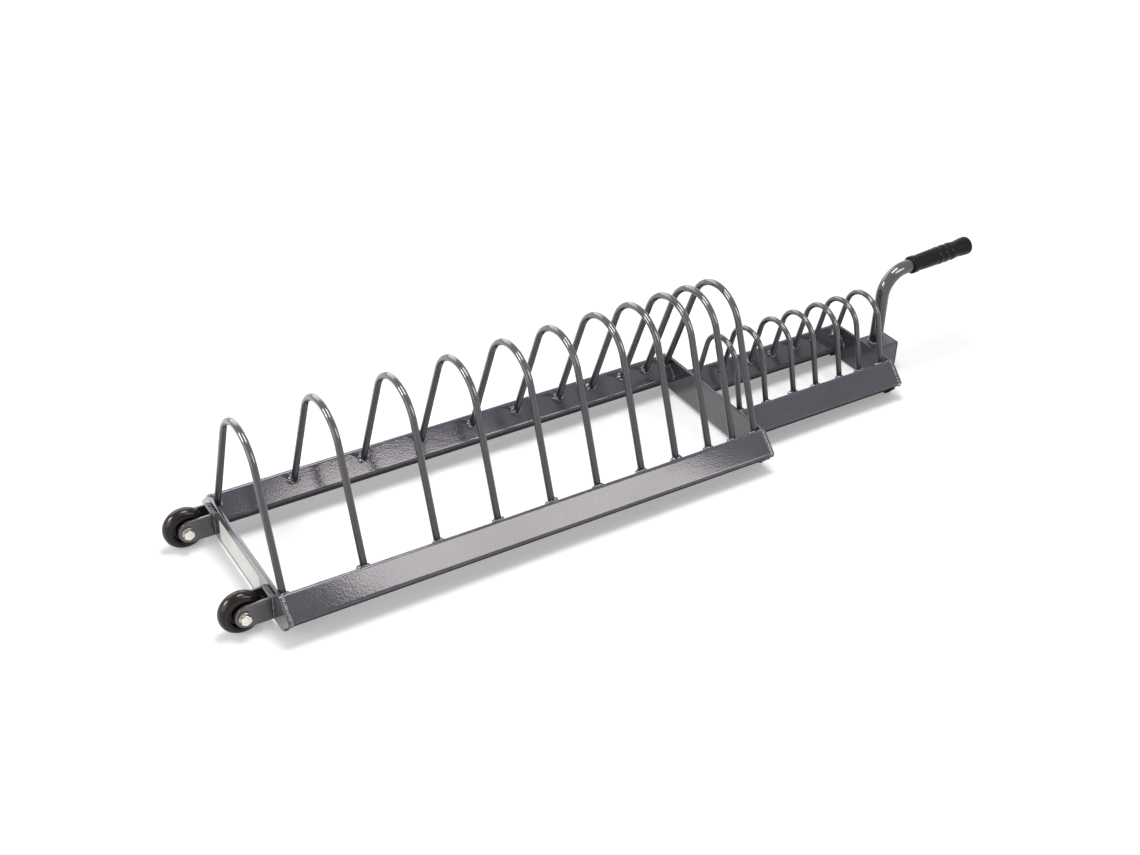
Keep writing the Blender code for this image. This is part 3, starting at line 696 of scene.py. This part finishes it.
def gripProfile():
    # (depth, radius) from the bore's bottom, out of its mouth, back along the outside, into the end's recess
    bore = handle["radius"] + cart["fitGap"]
    bevel, mouth, shoulder = grip["bevel"], grip["mouthRound"], grip["collarRound"]
    rows = [(grip["length"] - grip["endWall"], bore), (bevel, bore), (0, bore + bevel)]
    bits, _ = arc(mouth, 180, 90, 6)
    rows += (bits + [mouth, grip["collarRadius"] - mouth]).tolist()
    bits, _ = arc(shoulder, 90, 10, 5)
    rows += (bits + [grip["collarLength"] - shoulder, grip["collarRadius"] - shoulder]).tolist()
    rows.append((grip["collarLength"] + grip["collarFillet"], grip["waistRadius"] + grip["collarFillet"]))
    flareStart = grip["length"] - grip["flareLength"]
    ribsStart = flareStart - grip["ribPitch"] * grip["ribCount"]
    share = np.linspace(0.03, 1, grip["swellSteps"])
    swell = (grip["bellyRadius"] - grip["waistRadius"]) * np.sin(np.pi / 2 * share)
    depth = grip["collarLength"] + (ribsStart - grip["collarLength"]) * share
    rows += np.stack([depth, grip["waistRadius"] + swell], 1).tolist()
    ribs = np.linspace(0, grip["ribCount"], grip["ribCount"] * grip["ribSteps"] + 1)[1:]
    bulge = np.clip(1 - (np.abs(ribs % 1 - 0.5) / grip["ribHalfWidth"]) ** 2, 0, 1) ** grip["ribFullness"]
    rows += np.stack([ribsStart + grip["ribPitch"] * ribs,
                      grip["bellyRadius"] + (grip["ribRadius"] - grip["bellyRadius"]) * bulge], 1).tolist()
    run = grip["flareLength"] - grip["flareRound"]
    share = np.linspace(0.05, 1, grip["flareSteps"])
    settled = np.clip(share / grip["flareSettle"], 0, 1)
    settle = grip["bellyRadius"] - (grip["bellyRadius"] - grip["waistRadius"]) * settled
    widen = (grip["flareRadius"] - grip["waistRadius"]) * share**2 * (3 - 2 * share)
    rows += np.stack([flareStart + run * share, settle + widen], 1).tolist()
    bits, _ = arc(grip["flareRound"], 84, 14, 9)
    rows += (bits + [grip["length"] - grip["flareRound"], grip["flareRadius"] - grip["flareRound"]]).tolist()
    recess, deep = grip["recessRadius"], grip["length"] - grip["recessDepth"]
    rows += [(grip["length"], recess + bevel), (grip["length"] - grip["recessBreak"], recess),
             (deep, recess - bevel), (deep - grip["recessDish"], recess - grip["recessDraft"]),
             (deep - grip["recessDish"], bevel)]
    return np.array(rows)


def makeGrip():
    # the profile turned about the handle's end, both ends of the profile filled
    _, _, start, way = handleAxis()
    depth, radius = gripProfile().T
    path = start + depth[:, None] * way
    rings = carried(path, way + 0 * path, [0, 1, 0], radius, grip["sides"])
    makePiece("handleGrip", solid(rings), gripRubber, sharpDeg=grip["sharpDeg"])


makeHandle()
makeGrip()
print("handle made")


# Wheels and their brackets

wheels = {
    "y": {"Front": 0.044 - cart["longRailY"], "Rear": cart["longRailY"] - 0.0087},
    "body": {"Front": "front_wheel", "Rear": "rear_wheel"},
    "width": 0.024,
    "crown": 0.009,
    "rimRadius": 0.0245,
    "rimLip": 0.002,
    "webThickness": 0.008,
    "hubWall": 0.0035,
    "bearingRadius": 0.013,
    "bearingWidth": 0.008,
    "race": 0.0025,
    "sealDepth": 0.0006,
    "tyreGap": 0.0002,
    "tyreEdge": 0.0008,
    "treadSteps": 40,
    "bevel": 0.0003,
    "fillet": 0.0012,
    "lipStep": 0.0005,
    "sides": 96,
}

bracket = {
    "plate": 0.0045,
    "length": 0.0632,
    "height": 0.042,
    "earInside": wheels["width"] / 2 + 0.0015,
    "bendOutside": 0.004,
    "edge": 0.0008,
    "edgeSteps": 3,
    "hold": 0.001,
    "tipSteps": 26,
    "bendSteps": 8,
}

axle = {
    "acrossFlats": 0.017,
    "headHeight": 0.0064,
    "nutHeight": 0.008,
    "endProud": 0.003,
    "washerRadius": 0.010,
    "washerThickness": 0.002,
    "spacerRadius": 0.0075,
    "spacerEdge": 0.0002,
    "sleeveWall": 0.0015,
    "threadPitch": 0.0015,
    "threadDepth": 0.0007,
    "threadStart": 0.004,  # under the nut's seat
    "threadStep": 0.00025,
    "pointLength": 0.0009,
    "pointDepth": 0.0002,
    "shankRadius": 0.005,
    "nutGap": 0.0001,
    "faceHeight": 0.0006,
    "faceShare": 0.46,  # radius of the washer face against the width across flats
    "chamferShare": 0.96,
    "chamferDeg": 30.0,
    "chamferSteps": 7,
    "boreBevel": 0.0006,
    "bevel": 0.0003,
    "sharpDeg": 28.0,
    "boltSides": 96,
    "sides": 72,
}
washerStart = bracket["earInside"] + bracket["plate"] + cart["fitGap"]
boltSeat = washerStart + axle["washerThickness"] + cart["fitGap"]
bore = axle["shankRadius"] + cart["fitGap"]


def makeBracket(name, y):
    # a strip carried from one ear's tip, round two bends, to the other's, its height falling to nothing at the tips
    radius = bracket["height"] / 2
    half = bracket["plate"] / 2
    earY = bracket["earInside"] + half
    bend = bracket["bendOutside"] - half
    tipX = radius - bracket["length"]
    phi = np.radians(np.linspace(0, 90, bracket["tipSteps"] + 1))
    webX = -cart["fitGap"] - half
    # stations of the strip's middle line: x without the tip's round, y, way of thickness, share of height
    turn = np.radians(np.linspace(0, 90, bracket["bendSteps"] + 1))
    bendX = webX - bend + bend * np.sin(turn)
    bendY = earY - bend + bend * np.cos(turn)
    straight = np.array([tipX + bracket["hold"], webX - bend - bracket["hold"]])
    x = np.concatenate([np.full(len(phi), tipX), straight, bendX])
    yy = np.concatenate([np.full(len(phi) + 2, earY), bendY])
    wayX = np.concatenate([np.zeros(len(phi) + 2), np.sin(turn)])
    wayY = np.concatenate([np.ones(len(phi) + 2), np.cos(turn)])
    cosTip = np.concatenate([np.cos(phi), np.zeros(len(straight) + len(turn))])
    sinTip = np.concatenate([np.sin(phi), np.ones(len(straight) + len(turn))])
    mirrored = [np.concatenate([row, sign * row[::-1]]) for row, sign in
                ((x, 1), (yy, -1), (wayX, 1), (wayY, -1), (cosTip, 1), (sinTip, 1))]
    x, yy, wayX, wayY, cosTip, sinTip = [row[:, None] for row in mirrored]
    # section across the strip: thickness and how far the rim is drawn in, upper half then lower half
    level, inset, rub = [np.concatenate([row, row[::-1]]) for row in
                         rims(bracket["plate"], bracket["edge"], bracket["edgeSteps"], shading["rimHold"])]
    level = level - half
    up = np.repeat([1.0, -1.0], len(rub) // 2)
    reach = radius - inset
    ringX = x - cosTip * reach + wayX * level
    ringY = yy + wayY * level
    ringZ = cart["axleZ"] + up * sinTip * reach
    rings = np.stack([ringX, ringY + y, ringZ], -1)
    makePiece(name, solid(rings, False, rub), rodPaint)


def hexReach(angle, inscribed):
    # distance from the middle to a hexagon's side at an angle
    sixth = np.pi / 3
    return inscribed / np.cos((angle + sixth / 2) % sixth - sixth / 2)


def hexRings(centre, starts, limits):
    # hexagon carried along y, at each station cut back to a circle, which is how a chamfer is turned
    angle, _, _ = circle(axle["boltSides"])
    reach = np.minimum(hexReach(angle, axle["acrossFlats"] / 2), np.asarray(limits)[:, None])
    return turned(starts, reach, centre, len(angle))


def chamferStations(flat, sign):
    # y and circle limit of a chamfer, from the corners' depth up to the face
    inscribed = axle["acrossFlats"] / 2
    corner = inscribed / np.cos(np.pi / 6)
    face = inscribed * axle["chamferShare"]
    limit = np.linspace(corner, face, axle["chamferSteps"])
    return flat - sign * (limit - face) * np.tan(np.radians(axle["chamferDeg"])), limit


def makeZinc(name, shape):
    makePiece(name, shape, zincPlate, sharpDeg=axle["sharpDeg"])


def makeAxleBolt(tag, centre):
    # chamfered hexagon head with a washer face, then a shank whose end carries a helical thread
    seat, headEnd = -boltSeat, -boltSeat - axle["headHeight"]
    y, limit = chamferStations(headEnd, -1)
    corner = limit[0]
    under, faceRadius = seat - axle["faceHeight"], axle["acrossFlats"] * axle["faceShare"]
    y = np.concatenate([[under, under], y])
    limit = np.concatenate([[faceRadius, corner], limit])
    head = hexRings(centre, y, limit)
    angle, _, _ = circle(axle["boltSides"])
    face = turned([seat, under], faceRadius, centre, len(angle))
    end = boltSeat + axle["nutHeight"] + axle["endProud"]
    first, step = boltSeat - axle["threadStart"], axle["threadStep"]
    turns = np.arange(first + 2 * step, end - axle["pointLength"], step)
    along = np.concatenate([[seat, first], turns, [end]])
    phase = along[:, None] / axle["threadPitch"] - angle / (2 * np.pi)
    groove = axle["threadDepth"] * np.abs(2 * (phase % 1) - 1)
    groove[:2] = 0
    groove[-1] = axle["threadDepth"] + axle["pointDepth"]
    shank = turned(along, axle["shankRadius"] - groove, centre, len(angle))
    rings = np.concatenate([shank[::-1], face, head])
    makeZinc("axleBolt" + tag, solid(rings))


def makeAxleNut(tag, centre):
    # hexagon chamfered on its outer face, round the bolt
    seat, top = boltSeat, boltSeat + axle["nutHeight"]
    inner, bevel = axle["shankRadius"] + axle["nutGap"], axle["boreBevel"]
    yTop, limitTop = chamferStations(top, 1)
    yLow, limitLow = chamferStations(seat, -1)
    y = np.concatenate([[seat + bevel, seat], yLow[::-1], yTop, [top, top - bevel]])
    limit = np.concatenate([[inner, inner + bevel], limitLow[::-1], limitTop, [inner + bevel, inner]])
    makeZinc("axleNut" + tag, solid(hexRings(centre, y, limit), True))


def makeRing(name, start, end, outside, centre, edge=axle["bevel"]):
    # plain ring round the bolt, its outer edges broken, from a profile of (y, radius)
    profile = [(start, bore), (start, outside - edge), (start + edge, outside), (end - edge, outside),
               (end, outside - edge), (end, bore)]
    makeZinc(name, lathe(profile, centre, axle["sides"]))


def tyreProfile():
    # crowned tread, radius - crown * (1 - sine of an angle that turns half round from side to side), and a bore
    # round the rim, its edges broken
    half = wheels["width"] / 2
    angle = np.radians(np.linspace(0, 180, wheels["treadSteps"] + 1))
    crown = np.stack([-half * np.cos(angle), cart["wheelRadius"] - wheels["crown"] * (1 - np.sin(angle))], 1)
    inner, edge = wheels["rimRadius"] + wheels["tyreGap"], wheels["tyreEdge"]
    return crown.tolist() + [(half, inner + edge), (half - edge, inner), (edge - half, inner), (-half, inner + edge)]


def rimProfile():
    # outer ring, thin web and hub with a seat for a bearing in each face
    half, web = wheels["width"] / 2, wheels["webThickness"] / 2
    inside = wheels["rimRadius"] - wheels["rimLip"]
    seat = wheels["bearingRadius"] + cart["fitGap"]
    hub = wheels["bearingRadius"] + wheels["hubWall"] - cart["fitGap"]
    shoulder = half - wheels["bearingWidth"] - cart["fitGap"]
    bevel, fillet, step = wheels["bevel"], wheels["fillet"], wheels["lipStep"]
    under = inside - step
    right = [(shoulder, seat - wheels["hubWall"]), (shoulder, seat), (half - bevel, seat), (half, seat + bevel),
             (half, hub - step - bevel), (half - bevel, hub - step),
             (web + fillet, hub), (web + fillet / 4, hub + fillet / 3), (web, hub + fillet),
             (web, under - fillet), (web + fillet / 4, under - fillet / 3), (web + fillet, under),
             (half - step - bevel, inside), (half - step, inside + bevel), (half - step, wheels["rimRadius"])]
    return right + [(-y, radius) for y, radius in reversed(right)]


def bearingProfile(side):
    # two races with a seal sunk between them
    face, outer, race, bevel = wheels["width"] / 2, wheels["bearingRadius"], wheels["race"], wheels["bevel"]
    back, seal = face - wheels["bearingWidth"], face - wheels["sealDepth"]
    rows = [(back, bore), (back, outer - bevel), (back + bevel, outer), (face - bevel, outer),
            (face, outer - bevel), (face, outer - race + bevel), (face - bevel, outer - race),
            (seal, outer - race), (seal, bore + race), (face - bevel, bore + race),
            (face, bore + race - bevel), (face, bore + bevel), (face - bevel, bore)]
    return [(side * y, radius) for y, radius in rows]


for tag, y in wheels["y"].items():
    centre = np.array([cart["axleX"], y, cart["axleZ"]])
    makeBracket("wheelBracket" + tag, y)
    makeAxleBolt(tag, centre)
    makeAxleNut(tag, centre)
    for kind, near, far, edge in (
        ("washer", washerStart, washerStart + axle["washerThickness"], axle["bevel"]),
        ("spacer", wheels["width"] / 2 + cart["fitGap"], bracket["earInside"] - cart["fitGap"],
         axle["spacerEdge"]),
    ):
        for where, start, end in (("Head", -far, -near), ("Nut", near, far)):
            makeRing(kind + where + tag, start, end, axle[kind + "Radius"], centre, edge)
    end = wheels["width"] / 2 - wheels["bearingWidth"] - cart["fitGap"]
    makeRing("axleSleeve" + tag, -end, end, bore + axle["sleeveWall"], centre)
    for kind, profile, sides, finish, slotName in (
        ("tyre", tyreProfile(), wheels["sides"], tyreRubber, "tyre_rubber"),
        ("rim", rimProfile(), wheels["sides"], rimNylon, "black_nylon"),
        ("bearingHead", bearingProfile(-1), axle["sides"], bearingSteel, "bearing_steel"),
        ("bearingNut", bearingProfile(1), axle["sides"], bearingSteel, "bearing_steel"),
    ):
        makePiece(kind + tag, lathe(profile, centre, sides), finish, wheels["body"][tag])
print("wheels made")


# Weld beads

weld = {
    "ripple": 0.0024,
    "step": 0.0006,
    "sides": 10,
    "sharpDeg": 180.0,
    "smoothing": 7,
    "radiusShares": (0.68, 0.32, 0.26),  # of a bead's width: steady, rippled, random
    "radiusLimits": (0.45, 1.6),
    "drift": 0.8,
    "wander": 0.16,
    "lumps": 0.12,
    # the whole bead takes the rubbed colour, partly as painted highlight
    "wear": 0.8,
    "footWidth": 0.0028,
    "footOut": 0.0006,
    "footUp": 0.0002,
    "footSwell": (0.65, 0.9, 0.55),  # all round, on both sides along x, more on one side of the rear legs
    "railWidth": 0.0027,
    "railSink": 0.0009,
    "footSides": 48,
    "collarWidth": 0.0023,
    "collarSides": 80,
    "collarOut": 0.0006,
    "stubWidth": 0.0019,
    "stubSink": 0.0005,
    "bracketWidth": 0.0014,
    "bracketSink": 0.0004,
    "bracketOut": 0.0006,
    "shoeInside": -0.009,
    "shoeTop": 0.0205,
}


def bead(path, planeNormal, width, seed, closed=True, swell=None):
    # tube along a path, its width rippled by the puddles of a weld and roughened by smoothed seeded noise
    path = np.asarray(path, float)
    ends = np.vstack([path, path[:1]]) if closed else path
    run = np.concatenate([[0], np.cumsum(np.linalg.norm(np.diff(ends, axis=0), axis=1))])
    count = max(8, int(run[-1] / weld["step"]))
    at = np.linspace(0, run[-1], count, endpoint=not closed)
    spots = np.stack([np.interp(at, run, ends[:, k]) for k in range(3)], 1)
    draw = np.random.default_rng(seed)
    kernel = np.hanning(weld["smoothing"])
    kernel /= np.linalg.norm(kernel)
    noise = np.stack([np.convolve(np.resize(row, count + len(kernel) - 1), kernel, "valid")[:count]
                      for row in draw.normal(size=(3, count))])
    ripple = np.abs(np.sin(np.pi * at / weld["ripple"] + weld["drift"] * noise[0]))
    steady, rippled, random = weld["radiusShares"]
    radius = width * np.clip(steady + rippled * ripple + random * noise[1], *weld["radiusLimits"])
    if swell is not None:
        radius = radius * np.interp(at / run[-1], np.linspace(0, 1, len(swell)), swell)
    spots = spots + (width * weld["wander"] * noise[2])[:, None] * np.asarray(planeNormal, float)
    rings = tube(spots, planeNormal, radius, weld["sides"], closed)
    lumps = 1 + weld["lumps"] * draw.normal(size=rings.shape[:2])
    rings = spots[:, None] + (rings - spots[:, None]) * lumps[..., None]
    rings[..., 1] = np.clip(rings[..., 1], cadLow[1], cadHigh[1])
    return solid(rings, closed, np.full(rings.shape[:2], weld["wear"]))


def footBeads(kind, x, seed):
    # a loop round each leg, on the rail's face, thickest on the side that the torch reached
    footY, footZ, lean, _ = footOf(kind)
    turn, _, _ = circle(weld["footSides"])
    parts = []
    for side in (1, -1):
        leg = np.array([0, side * np.sin(lean), -np.cos(lean)])
        normal, _ = footPlane(kind, side)
        slope = np.array([0, side, 1]) / np.sqrt(2)  # up the face, towards the ridge
        stretch = 1 / abs(leg @ normal)
        reach = kind["rodRadius"] + weld["footOut"]
        middle = np.array([x, side * footY, footZ])
        path = middle + reach * (np.cos(turn)[:, None] * np.array([1, 0, 0]) +
                                 stretch * np.sin(turn)[:, None] * slope) + normal * weld["footUp"]
        sway = np.cos(np.append(turn, 2 * np.pi))
        steady, both, one = weld["footSwell"]
        swell = steady + both * np.abs(sway) ** 3 + (one * np.clip(-sway, 0, 1) ** 2 if side > 0 else 0)
        parts.append(bead(path, normal, weld["footWidth"], seed + (side > 0), True, swell))
    return parts


def makeWelds(name, beads):
    makePiece(name, beads, weldPaint, sharpDeg=weld["sharpDeg"], hasSolid=False)


hoopWelds = []
for size, seed in (("large", 100), ("small", 200)):
    for number, x in enumerate(hoopPlaces(hoops[size])):
        hoopWelds += footBeads(hoops[size], x, seed + 2 * number)
makeWelds("hoopWelds", hoopWelds)


def railLoop(y, x, sink):
    # the rail's outline just under its surface, at one place along it
    outline, _, _ = roundedSquare(rail["side"] - 2 * sink, rail["corner"] - sink, 0)
    return sectionAt(outline + [y, railAxisZ], x)


def clearOfShoe(loop, side):
    # the loop opened where the rubber foot lies against the rail, its points kept in order
    out = side * (loop[:, 1] - side * cart["shortRailY"])
    free = (out < weld["shoeInside"]) | (loop[:, 2] > weld["shoeTop"])
    first = int(np.flatnonzero(free & ~np.roll(free, 1))[0])
    return np.roll(loop, -first, 0)[np.roll(free, -first)]


railWelds = []
for number, (y, x) in enumerate([(side * railY, x) for side in (-1, 1) for railY, x in (
    (cart["longRailY"], rail["longFrom"]), (cart["longRailY"], rail["longTo"]),
    (cart["shortRailY"], rail["shortFrom"]), (cart["shortRailY"], rail["shortTo"]))]):
    loop, atShoe = railLoop(y, x, weld["railSink"]), x == rail["shortTo"]
    if atShoe:
        loop = clearOfShoe(loop, np.sign(y))
    railWelds.append(bead(loop, [1, 0, 0], weld["railWidth"], 300 + number, not atShoe))
makeWelds("railWelds", railWelds)

turn, cosines, sines = circle(weld["collarSides"])
reach = handle["radius"] + weld["collarOut"]
collar = np.stack([handle["x"] + reach * cosines, reach * sines, 0 * turn + stub["top"]], 1)
outline, _, _ = roundedSquare(stub["side"] - 2 * weld["stubSink"], stub["corner"], 45)
stubFoot = sectionAt(outline + [0, stub["top"] - stub["side"] / 2], stub["start"])
handleWelds = [bead(collar, [0, 0, 1], weld["collarWidth"], 401), bead(stubFoot, [1, 0, 0], weld["stubWidth"], 402)]
makeWelds("handleWelds", handleWelds)

bracketWelds = []
for number, y in enumerate(wheels["y"].values()):
    wide = bracket["earInside"] + bracket["plate"] - weld["bracketSink"]
    high = bracket["height"] / 2 - weld["bracketSink"]
    corners = np.array([(-wide, -high), (wide, -high), (wide, high), (-wide, high)]) + [y, cart["axleZ"]]
    loop = sectionAt(corners, -weld["bracketOut"])
    bracketWelds.append(bead(loop, [1, 0, 0], weld["bracketWidth"], 500 + number))
makeWelds("bracketWelds", bracketWelds)
print("welds made")


# Blank label

label = {
    "yFrom": -0.071,
    "yTo": 0.100,
    "zFrom": 0.007,
    "zTo": 0.050,
    "corner": 0.004,
    "thickness": 0.0003,
    "gap": 0.00005,
    "edge": 0.0001,
    "edgeSteps": 3,
    "hold": 0.0004,
    "cornerSteps": 8,
}


def makeLabel():
    # rectangle with round corners, carried a hair's breadth out from the crossbar
    middle = np.array([(label["yFrom"] + label["yTo"]) / 2, (label["zFrom"] + label["zTo"]) / 2])
    halfSize = np.array([label["yTo"] - label["yFrom"], label["zTo"] - label["zFrom"]]) / 2 - label["corner"]
    rounds = [(middle + halfSize * signs, 90 * quarter, 90 * quarter + 90)
              for quarter, signs in enumerate(((1, 1), (-1, 1), (-1, -1), (1, -1)))]
    sheet = slab(*joined(rounds, label["corner"], label["cornerSteps"]), -label["thickness"] - label["gap"],
                 label["thickness"], label["edge"], label["edgeSteps"], label["hold"])
    makePiece("blankLabel", sheet, labelVinyl, hasSolid=False)


makeLabel()


# Solids that keep their own mesh

for name in ("rubber_shoe_front", "rubber_shoe_rear"):
    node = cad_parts[name]
    node.data.materials.clear()
    node.data.materials.append(shoeRubber)
print("label and shoes made")


# Floor, lights and world

studio = {
    "floorReach": 12.0,
    "floorRoughness": 0.9,
    "floorGloss": 0.1,
    "floorColor": (0.86, 0.86, 0.86),
    "floorGlow": (0.26, 0.8),  # under the cart, and out on the sweep
    "sweepFrom": 1.1,
    "sweepTo": 3.2,
    "worldColor": (1.0, 1.0, 1.0),
    "worldStrength": 0.5,
    "lamps": (
        # name, shape, place, aim, turn about the aim, width, height, watts, colour, lights matt surfaces too
        ("frontBox", "ELLIPSE", (0.86, -1.765, 1.71), (-0.25, 0.0, 0.05), -54.0, 1.78, 0.76, 28.4,
         (1.0, 0.95, 0.89), False),
        ("backBox", "RECTANGLE", (-0.37, 2.2, 1.35), (-0.2, 0.0, 0.2), 0.0, 2.74, 1.4, 34.5,
         (0.90, 0.93, 1.0), False),
        ("leftBox", "SQUARE", (-2.4, 0.73, 1.42), (-0.3, 0.0, 0.25), 0.0, 0.7, 0.7, 36.0,
         (1.0, 0.985, 0.96), False),
        ("leftWall", "RECTANGLE", (-2.9, -0.2, 0.9), (-0.4, 0.0, 0.2), 0.0, 2.4, 1.4, 26.0, (1.0, 0.95, 0.90), True),
        ("topBox", "SQUARE", (0.0, 0.1, 2.6), (0.0, 0.1, 0.0), 0.0, 1.05, 1.05, 46.0, (1.0, 1.0, 1.0), True),
    ),
}


def seenOf(tree):
    # 1 for rays that look at the backdrop: straight, mirrored or through something
    ray = addNode(tree, "ShaderNodeLightPath").outputs
    mirrored = mathOf(tree, ray["Is Glossy Ray"], ray["Is Transmission Ray"], "MAXIMUM")
    return mathOf(tree, ray["Is Camera Ray"], mirrored, "MAXIMUM")


def makeStudio():
    mesh = bpy.data.meshes.new("studioFloor")
    reach = studio["floorReach"]
    mesh.from_pydata([(-reach, -reach, 0), (reach, -reach, 0), (reach, reach, 0), (-reach, reach, 0)], [],
                     [(0, 1, 2, 3)])
    floor = bpy.data.objects.new("studioFloor", mesh)
    scene.collection.objects.link(floor)
    material, tree, shader = newMaterial("studioFloorFinish")
    seen = seenOf(tree)
    away = addNode(tree, "ShaderNodeVectorMath", {0: objectPlace(tree)}, operation="LENGTH").outputs["Value"]
    rise = spreadOf(tree, away, studio["sweepFrom"], studio["sweepTo"], *studio["floorGlow"])
    feed(tree, shader, {"Base Color": (*studio["floorColor"], 1.0), "Roughness": studio["floorRoughness"],
                        "Specular IOR Level": studio["floorGloss"], "Emission Color": (1.0, 1.0, 1.0, 1.0),
                        "Emission Strength": mathOf(tree, seen, rise)})
    mesh.materials.append(material)
    floor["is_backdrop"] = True

    world = bpy.data.worlds.new("studioWorld")
    world.use_nodes = True
    scene.world = world
    tree = world.node_tree
    level = spreadOf(tree, seenOf(tree), 0.0, 1.0, studio["worldStrength"], 1.0)
    feed(tree, tree.nodes["Background"], {"Color": (*studio["worldColor"], 1.0), "Strength": level})

    for name, shape, place, aim, turnDeg, width, height, watts, color, onMatt in studio["lamps"]:
        data = bpy.data.lights.new(name, "AREA")
        data.shape = shape
        data.size, data.size_y, data.energy, data.color = width, height, watts, color
        lamp = bpy.data.objects.new(name, data)
        lamp.location = place
        lamp.visible_diffuse = onMatt
        facing = (Vector(aim) - Vector(place)).to_track_quat("-Z", "Y")
        lamp.rotation_euler = (facing @ Quaternion((0, 0, 1), np.radians(turnDeg))).to_euler()
        scene.collection.objects.link(lamp)


makeStudio()
print("studio made")

low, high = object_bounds()
